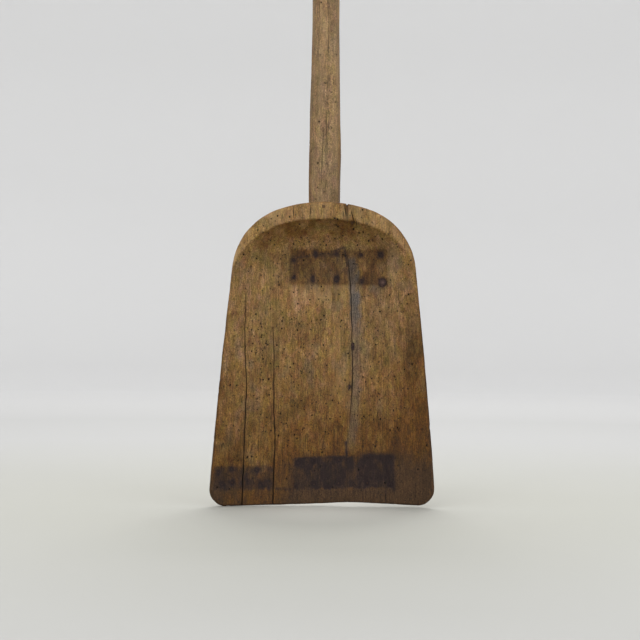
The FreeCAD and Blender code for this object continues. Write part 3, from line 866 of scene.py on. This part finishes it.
def handle_paint(points):
    """Masks for the handle, with painted shade on its rounded sides, and dirtier where the upper hand went.
    """
    x, y, z = points.T
    cloud = layered(x / 9, y / 9, z / 26, 95)
    fine = layered(x / 2.4, y / 2.4, z / 10, 96)
    # The last term is painted shade on the handle's rounded sides.
    dirt = 0.16 + 0.50 * (cloud - 0.5) + 0.35 * (fine - 0.5) + 0.30 * np.abs(x / GRIP_RADIUS) ** 6
    dirt = dirt - 0.07 * ramp(z, 500, 440)
    dirt = dirt + 0.20 * ramp(z, 760, 820) * ramp(z, 1010, 950)
    grey = 0.25 + 0.7 * (layered(x / 12, y / 12, z / 50, 97) - 0.5)
    pale = 0.55 * smooth_step(2.6 * layered(x / 6, y / 6, z / 40, 98) - 0.9)
    return {"iron": 0 * x, "grey": grey, "dirt": dirt, "pale": pale}


def handle_piece(material):
    """The hewn handle, with worm holes and cracks along the grain, and a worn round end."""
    top = HANDLE_STRAIGHT + END_RADIUS * math.pi / 2 + GRIP_RADIUS - END_RADIUS - END_FLAT
    side = np.linspace(0, top, int(top / HANDLE_STEP))
    base = np.linspace(0, AROUND, int(AROUND / HANDLE_STEP))
    sides = [(base, 0 * base), (0 * side + AROUND, side),
             (base[::-1], 0 * base + top), (0 * side, side[::-1])]
    loop = np.vstack([np.column_stack(edge)[:-1] for edge in sides])
    front = AROUND / 2
    holes = [hairline(front + dx, low, high, 0.45, 2.0, 0.8) for dx, low, high in HANDLE_CRACKS]
    keep_out = [(front + dx, z, 1.9) for dx, low, high in HANDLE_CRACKS for z in np.arange(low, high, 1.5)]
    clusters = [(front + x, z, spread, many) for x, z, spread, many in HANDLE_CLUSTERS]
    places = worm_places(110, (0.0, 0.0), (AROUND, 640), clusters)
    holes += [worm_hole(*place) for place in scattered(places, loop, keep_out, 1.9)]
    places, triangles, went = filled(loop, holes, HANDLE_STEP, HANDLE_ROWS)
    points = handle_surface(*places.T)
    paint = handle_paint(points)
    hole = darkened(np.zeros(len(points)), places, holes)
    # The loop's two long sides are one line on the handle
    same = np.arange(len(points))
    corner = len(base) - 1
    right = [went[corner + n] for n in range(len(side))]
    same[right] = [went[n % len(loop)] for n in range(len(loop), len(loop) - len(side), -1)]
    points, faces = list(points), same[triangles].tolist()
    for closed, depth, surface in hole_rings(holes, went, len(loop)):
        pit(points, faces, surface,
            lambda share: handle_surface(*drawn_in(closed, share).T, inward=depth * share))
    # The walls and floors of the handle's holes get full painted shade.
    hole = np.concatenate([hole, np.ones(len(points) - len(hole))])
    for first in (0, corner + len(side) - 1):
        rim = [same[went[n]] for n in range(first, first + corner)]
        centre = len(points)
        points.append(np.mean([points[n] for n in rim], axis=0))
        faces += [(rim[(n + 1) % corner], rim[n], centre) for n in range(corner)]
    new_piece("hewn_handle", points, faces, paint, hole, "handle", material)


NAIL_VOXEL, PITTING = 0.42, 0.7
# The one nail that keeps its head, and how strong and wide its brighter middle is: a painted highlight on
# partly bare iron.
HEADED_NAIL, HEAD_BARE_AND_HIGHLIGHT, HEAD_BARE_AND_HIGHLIGHT_RADIUS = "crown_patch_nail_10", 0.9, 2.3


def rusted(name, material):
    """A CAD nail with its surface eaten by rust, and brighter over the middle of the head: a painted
    highlight on partly bare iron.
    """
    piece = bpy.data.objects.new(name + "_rusted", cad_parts[name].data.copy())
    bpy.context.collection.objects.link(piece)
    remesh = piece.modifiers.new("remesh", "REMESH")
    remesh.mode = "VOXEL"
    remesh.voxel_size = NAIL_VOXEL * MM
    piece.data = bpy.data.meshes.new_from_object(piece.evaluated_get(bpy.context.evaluated_depsgraph_get()))
    piece.modifiers.clear()
    mesh = piece.data
    place, normal = np.zeros(len(mesh.vertices) * 3), np.zeros(len(mesh.vertices) * 3)
    mesh.vertices.foreach_get("co", place)
    mesh.vertices.foreach_get("normal", normal)
    place, normal = place.reshape(-1, 3) / MM, normal.reshape(-1, 3)
    x, y, z = place.T
    eaten = PITTING * (layered(x / 1.6, y / 1.6, z / 1.6, 110) - 0.62)
    mesh.vertices.foreach_set("co", ((place + normal * eaten[:, None]) * MM).ravel())
    bare_and_highlight = 0 * x
    if name == HEADED_NAIL:
        middle = [(v.min() + v.max()) / 2 for v in (x, z)]
        bare_and_highlight = HEAD_BARE_AND_HIGHLIGHT * bell(x, middle[0], HEAD_BARE_AND_HIGHLIGHT_RADIUS) * bell(z, middle[1], HEAD_BARE_AND_HIGHLIGHT_RADIUS)
    mesh.attributes.new("bare_and_highlight", "FLOAT", "POINT").data.foreach_set("value", bare_and_highlight.astype(np.float32))
    mesh.materials.clear()
    mesh.materials.append(material)
    mesh.shade_smooth()
    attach(piece, "root")
    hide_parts(name)


class Nodes:
    """A new material, with short calls that make its shader nodes. Places are in the unit, in metres."""

    def __init__(self, name, unit=1.0):
        self.material = bpy.data.materials.new(name)
        self.material.use_nodes = True
        self.tree = self.material.node_tree
        self.shader = self.tree.nodes["Principled BSDF"]
        place = self.add("ShaderNodeTexCoord").outputs["Object"]
        self.place = self.add("ShaderNodeVectorMath", {0: place, 3: 1 / unit}, operation="SCALE").outputs[0]

    def give(self, socket, value):
        """Set a socket to a value, or link it to another node's output."""
        if isinstance(value, bpy.types.NodeSocket):
            self.tree.links.new(value, socket)
        else:
            socket.default_value = value

    def add(self, kind, inputs=None, **settings):
        """A shader node with its settings and inputs."""
        made = self.tree.nodes.new(kind)
        for key, value in settings.items():
            setattr(made, key, value)
        for key, value in (inputs or {}).items():
            self.give(made.inputs[key], value)
        return made

    def texture(self, size, stretch, detail=3.0, roughness=0.55, distortion=0.0):
        """Noise with features of a size, stretched along the grain."""
        scale = (1 / size, 1 / size, 1 / (size * stretch))
        scaled = self.add("ShaderNodeMapping", {"Vector": self.place, "Scale": scale})
        made = self.add("ShaderNodeTexNoise", {"Vector": scaled.outputs[0], "Scale": 1.0, "Detail": detail,
                                               "Roughness": roughness, "Distortion": distortion})
        return made.outputs["Fac"]

    def remap(self, value, low, high, to_low=0.0, to_high=1.0, shape="LINEAR"):
        """A value moved from one range to another, and held inside it."""
        made = self.add("ShaderNodeMapRange", {"Value": value, "From Min": low, "From Max": high,
                                               "To Min": to_low, "To Max": to_high}, interpolation_type=shape)
        return made.outputs[0]

    def math(self, operation, a, b=0.0):
        """One sum, product or the like."""
        return self.add("ShaderNodeMath", {0: a, 1: b}, operation=operation).outputs[0]

    def length(self, vector):
        """How long a vector is."""
        return self.add("ShaderNodeVectorMath", {0: vector}, operation="LENGTH").outputs["Value"]

    def mix(self, share, a, b, blend="MIX"):
        """One colour mixed with another."""
        made = self.add("ShaderNodeMix", {0: share, 6: a, 7: b}, data_type="RGBA", blend_type=blend)
        return made.outputs[2]

    def finish(self, tone, roughness, height=None, distance=MM):
        """Give the shader its colour, its roughness and the bumps of a height."""
        self.give(self.shader.inputs["Base Color"], tone)
        self.give(self.shader.inputs["Roughness"], roughness)
        if height is not None:
            bump = self.add("ShaderNodeBump", {"Height": height, "Distance": distance, "Strength": 0.8})
            self.give(self.shader.inputs["Normal"], bump.outputs[0])
        return self.material


def colour(red, green, blue):
    """A screen colour, 0 to 255, as a linear one."""
    shares = [c / 255 for c in (red, green, blue)]
    return (*[c / 12.92 if c <= 0.04045 else ((c + 0.055) / 1.055) ** 2.4 for c in shares], 1.0)


def wood_material(name, ochre, umber, rose, olive, roughness):
    """Old bare wood: streaks and pores along the grain, blotches, and the masks painted on the mesh."""
    nodes = Nodes(name, MM)
    texture, remap, mix = nodes.texture, nodes.remap, nodes.mix
    mask = {m: nodes.add("ShaderNodeAttribute", attribute_name=m).outputs["Fac"] for m in (*MASKS, "hole")}
    streak = texture(2.4, 26, 3.0, 0.6, 0.2)
    fibre = texture(0.9, 14, 3.0, 0.6)
    line = texture(1.1, 30, 2.0, 0.5, 0.3)
    pore = texture(0.8, 4, 2.0)
    fleck = texture(1.4, 1.3, 3.0, 0.65)
    speck = texture(1.0, 1.2, 1.0, 0.5)
    mottle = texture(8.0, 2.0, 5.0, 0.68, 0.8)
    blush = texture(12.0, 2.2, 5.0, 0.66, 0.8)
    blotch = texture(30.0, 1.8, 4.0, 0.6, 0.8)
    hue = texture(40.0, 1.6, 5.0, 0.65, 1.2)
    tint = texture(7.0, 1.8, 4.0, 0.6, 0.4)

    tone = mix(remap(mottle, 0.32, 0.66), colour(*umber), colour(*ochre))
    tone = mix(remap(blush, 0.50, 0.66, 0.0, 0.58), tone, colour(*rose))
    tone = mix(remap(hue, 0.52, 0.60, 0.0, 0.55), tone, colour(*olive))
    cast = mix(remap(tint, 0.36, 0.64), (0.96, 1.02, 0.80, 1.0), (1.06, 0.99, 1.12, 1.0))
    tone = mix(1.0, tone, cast, "MULTIPLY")
    light = remap(fibre, 0.3, 0.7, 0.62, 1.38)
    for grain, *ranges in ((blotch, 0.34, 0.66, 0.86, 1.14), (fleck, 0.34, 0.68, 0.60, 1.40),
                           (streak, 0.34, 0.62, 0.80, 1.12), (line, 0.60, 0.68, 1.0, 0.62),
                           (pore, 0.58, 0.68, 1.0, 0.5), (speck, 0.665, 0.72, 1.0, 0.28)):
        light = nodes.math("MULTIPLY", light, remap(grain, *ranges))
    shade = nodes.add("ShaderNodeCombineColor", {0: light, 1: light, 2: light}).outputs[0]
    tone = mix(1.0, tone, shade, "MULTIPLY")
    tone = mix(mask["pale"], tone, mix(0.5, tone, colour(194, 162, 116)))
    ashen, grime_and_shade, inky = [mix(1.0, colour(*c), shade, "MULTIPLY")
                          for c in ((98, 90, 84), (70, 50, 32), (47, 32, 27))]
    tone = mix(nodes.math("MULTIPLY", mask["grey"], 0.8), tone, ashen)
    tone = mix(remap(mask["dirt"], 0.0, 1.0), tone, mix(1.0, tone, (0.45, 0.31, 0.055, 1.0), "MULTIPLY"))
    # Where the dirt mask runs high, at the edges and under the rim, this dark brown is largely painted shade.
    tone = mix(remap(mask["dirt"], 0.8, 1.6, 0.0, 0.9), tone, grime_and_shade)
    stain = nodes.math("MULTIPLY", mask["iron"], remap(mottle, 0.35, 0.62, 1.12, 0.88))
    tone = mix(remap(stain, 0.0, 1.0), tone, inky)
    tone = mix(remap(stain, 0.88, 1.35, 0.0, 0.85), tone, colour(33, 18, 19))
    # Painted shade: holes, open cracks and the borders round holes are painted near black.
    tone = mix(remap(mask["hole"], 0.0, 1.0), tone, colour(20, 14, 9))
    dry = nodes.math("ADD", remap(fibre, 0.2, 0.8, roughness - 0.08, roughness + 0.1),
                     remap(mask["dirt"], 0.0, 1.0, 0.0, 0.10))
    nodes.shader.inputs["Specular IOR Level"].default_value = 0.32
    height = nodes.math("ADD", remap(fibre, 0.2, 0.8, 0.0, 0.10), remap(pore, 0.58, 0.70, 0.0, -0.12))
    return nodes.finish(tone, dry, nodes.math("ADD", height, remap(fleck, 0.3, 0.7, 0.0, 0.05)))


def rust_material(name, dark, bright):
    """Old iron, with patches of brighter scale."""
    nodes = Nodes(name, MM)
    scale = nodes.texture(1.4, 1.0, 4.0, 0.65)
    grain = nodes.texture(0.4, 1.0, 3.0)
    tone = nodes.mix(nodes.remap(scale, 0.42, 0.66), dark, bright)
    soot = nodes.mix(0.5, dark, colour(16, 12, 12))
    tone = nodes.mix(nodes.remap(grain, 0.3, 0.75, 0.0, 0.6), tone, soot)
    # Brighter middle of the nail head: a painted highlight on partly bare iron.
    bare_and_highlight = nodes.add("ShaderNodeAttribute", attribute_name="bare_and_highlight").outputs["Fac"]
    tone = nodes.mix(bare_and_highlight, tone, colour(104, 78, 70))
    nodes.shader.inputs["Metallic"].default_value = 0.25
    return nodes.finish(tone, nodes.remap(grain, 0.2, 0.8, 0.62, 0.95), scale, 0.3 * MM)


def paper_material():
    """Pale paper for the studio, toned by the distance from the scoop, with a painted pool of light round its
    foot and a painted shadow that makes it darker in front of it.
    """
    nodes = Nodes("studio_paper")
    place, remap, mix = nodes.place, nodes.remap, nodes.mix
    # A painted pool of light where the scoop stands, paler than the floor round it, that lifts its shadow.
    narrow = nodes.add("ShaderNodeVectorMath", {0: place, 1: (1.6, 1.0, 1.0)}, operation="MULTIPLY")
    near = remap(nodes.length(narrow.outputs[0]), 0.0, 0.22, shape="SMOOTHSTEP")
    tone = mix(near, colour(198, 198, 191), colour(167, 167, 160))
    parts = nodes.add("ShaderNodeSeparateXYZ", {0: place}).outputs
    # A painted shadow on the floor in front of the scoop.
    aside = remap(nodes.math("ABSOLUTE", parts["X"]), 0.0, 0.34, 1.0, 0.0, "SMOOTHSTEP")
    ahead = nodes.math("MULTIPLY", remap(parts["Y"], -0.16, -0.44), remap(parts["Y"], -1.2, -0.8))
    tone = mix(nodes.math("MULTIPLY", aside, ahead), tone, colour(155, 155, 147))
    apart = nodes.length(place)
    for low, high, further in ((0.3, 1.3, (170, 170, 169)), (2.0, 3.6, (200, 200, 200)),
                               (4.0, 4.9, (220, 220, 220))):
        tone = mix(remap(apart, low, high), tone, colour(*further))
    mottle = nodes.add("ShaderNodeTexNoise", {"Vector": place, "Scale": 3.0, "Detail": 2.0}).outputs["Fac"]
    tone = mix(nodes.math("MULTIPLY", mottle, 0.06), tone, colour(200, 200, 198))
    return nodes.finish(tone, 0.9)


# The studio floor, in metres: how far it is flat, the radius of its sweep, and the wall's height
FLOOR_REACH, FLOOR_SWEEP, WALL_HEIGHT, FLOOR_SIDES = 3.6, 1.2, 1.6, 96


def studio():
    """A pale round floor that sweeps up into a backdrop."""
    profile = [(FLOOR_REACH, 0.0)]
    profile += [(FLOOR_REACH + FLOOR_SWEEP * math.sin(a), FLOOR_SWEEP * (1 - math.cos(a)))
                for a in np.linspace(0, math.pi / 2, 17)[1:]]
    profile.append((FLOOR_REACH + FLOOR_SWEEP, FLOOR_SWEEP + WALL_HEIGHT))
    turns = np.arange(FLOOR_SIDES) * 2 * math.pi / FLOOR_SIDES
    points = [(0.0, 0.0, 0.0)]
    for reach, height in profile:
        points += [(reach * math.cos(a), reach * math.sin(a), height) for a in turns]
    after = [(n + 1) % FLOOR_SIDES for n in range(FLOOR_SIDES)]
    faces = [(0, 1 + n, 1 + after[n]) for n in range(FLOOR_SIDES)]
    for low in range(1, len(points) - FLOOR_SIDES, FLOOR_SIDES):
        high = low + FLOOR_SIDES
        faces += [(high + n, high + after[n], low + after[n], low + n) for n in range(FLOOR_SIDES)]
    mesh = bpy.data.meshes.new("studio_floor")
    mesh.from_pydata(points, [], faces)
    mesh.shade_smooth()
    mesh.materials.append(paper_material())
    floor = bpy.data.objects.new("studio_floor", mesh)
    bpy.context.collection.objects.link(floor)


CAMERA_DISTANCE = 2.3
VIEW_WIDTH = 0.7655
CAMERA_TARGET = Vector((-0.0042, 0, 0.2232))
CAMERA_ROLL = -0.5


def camera():
    """The photograph's view: level, square on, and close to the scoop's middle."""
    data = bpy.data.cameras.new("camera")
    data.lens = data.sensor_width * CAMERA_DISTANCE / VIEW_WIDTH
    data.clip_end = 50.0
    made = bpy.data.objects.new("camera", data)
    upright = Matrix.Rotation(math.pi / 2, 4, "X")
    made.matrix_world = (Matrix.Translation(CAMERA_TARGET + Vector((0, -CAMERA_DISTANCE, 0)))
                         @ Matrix.Rotation(math.radians(CAMERA_ROLL), 4, "Y") @ upright)
    bpy.context.collection.objects.link(made)
    bpy.context.scene.camera = made


def area_light(name, place, target, size, power, tint):
    """A square soft light."""
    data = bpy.data.lights.new(name, "AREA")
    data.size, data.energy, data.color = size, power, tint
    light = bpy.data.objects.new(name, data)
    light.location = place
    light.rotation_euler = (Vector(target) - Vector(place)).to_track_quat("-Z", "Y").to_euler()
    bpy.context.collection.objects.link(light)


def lights():
    """White light from all round, a key and a fill light in front, and a strong light behind."""
    world = bpy.data.worlds.new("studio_light")
    world.use_nodes = True
    background = world.node_tree.nodes["Background"]
    background.inputs["Color"].default_value = (1.0, 1.0, 1.0, 1.0)
    background.inputs["Strength"].default_value = 1.22
    bpy.context.scene.world = world
    bpy.context.scene.view_settings.view_transform = "Standard"
    area_light("key", (-0.7, -2.0, 2.6), (0, 0, 0.3), 1.6, 21.0, (1.0, 0.98, 0.95))
    area_light("fill", (1.9, -2.2, 1.2), (0, 0, 0.3), 1.6, 8.0, (0.95, 0.98, 1.0))
    area_light("back", (0.2, 2.0, 2.7), (0, 0, 0.2), 1.8, 50.0, (1.0, 1.0, 1.0))


# Groups of worm holes in the scoop: (x, z, spread, how many)
FRONT_CLUSTERS = [
    (-80, 205, 14, 22), (-22, 208, 16, 26), (-30, 170, 16, 18), (-10, 318, 24, 34), (40, 322, 22, 30),
    (-60, 305, 20, 26), (60, 210, 18, 20), (70, 150, 22, 18), (15, 230, 20, 22), (-5, 354, 22, 22),
    (48, 350, 16, 22), (86, 250, 12, 12), (60, 90, 20, 14), (-85, 140, 14, 12), (-87, 199, 10, 14),
    (-62, 193, 12, 22), (70, 110, 18, 24), (-25, 110, 30, 26)]
BACK_CLUSTERS = [(-40, 240, 30, 30), (50, 180, 30, 30), (0, 330, 25, 20)]
NAIL_CLEARANCE = 4.2
PIN = (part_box("handle_pin_nail")[0][0] / MM + 1.8, 357.0, 4.0)


def scoop_boards(material):
    """Both boards of the scoop, with their worm holes and cracks."""
    outline = worn_outline()
    low, high = outline.min(axis=0), outline.max(axis=0)
    nails = CROWN_NAILS + LIP_NAILS + CORNER_NAILS + SEAM_NAILS
    at_nails = [(x, z, NAIL_CLEARANCE) for x, z in nails]
    at_cracks = [(x, z, 1.8) for x, foot, top, *_ in HAIRLINES for z in np.arange(foot, top, 1.5)]
    front_places = worm_places(420, low, high, FRONT_CLUSTERS)
    back_places = worm_places(260, low, high, BACK_CLUSTERS)
    left = board_loop(outline, -1)
    for line, seed in zip(CHECK_LINES, (21, 24)):
        left = add_check(left, line, seed)
    right = board_loop(outline, 1)
    for name, node, loop in (("carved_scoop", "scoop_body", left),
                             ("carved_split_board", "split_board", right)):
        plan = loop[:, :2]
        in_board = inside(np.array([(x, (foot + top) / 2) for x, foot, top, *_ in HAIRLINES]), plan)
        front_holes = [short_of_edge(crack, plan) for crack, here in zip(HAIRLINES, in_board) if here]
        front = scattered(front_places, plan, at_nails + [PIN] + at_cracks, 1.5)
        front_holes += [worm_hole(*place) for place in front]
        back_holes = [worm_hole(*place) for place in scattered(back_places, plan, at_nails, 1.9)]
        board(name, node, loop, nails, front_holes, back_holes, material)


scoop_boards(wood_material("scoop_wood", ochre=(156, 125, 73), umber=(129, 90, 51),
                           rose=(166, 129, 95), olive=(122, 102, 58), roughness=0.62))
handle_piece(wood_material("handle_wood", ochre=(168, 138, 94), umber=(139, 105, 70),
                           rose=(172, 140, 107), olive=(138, 116, 80), roughness=0.56))
rust = rust_material("rusted_iron", colour(34, 22, 23), colour(82, 54, 42))
dull_rust = rust_material("dusty_iron", colour(92, 68, 44), colour(116, 88, 56))
for name in sorted(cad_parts):
    if "nail" in name:
        rusted(name, dull_rust if "pin" in name else rust)
studio()
lights()
camera()
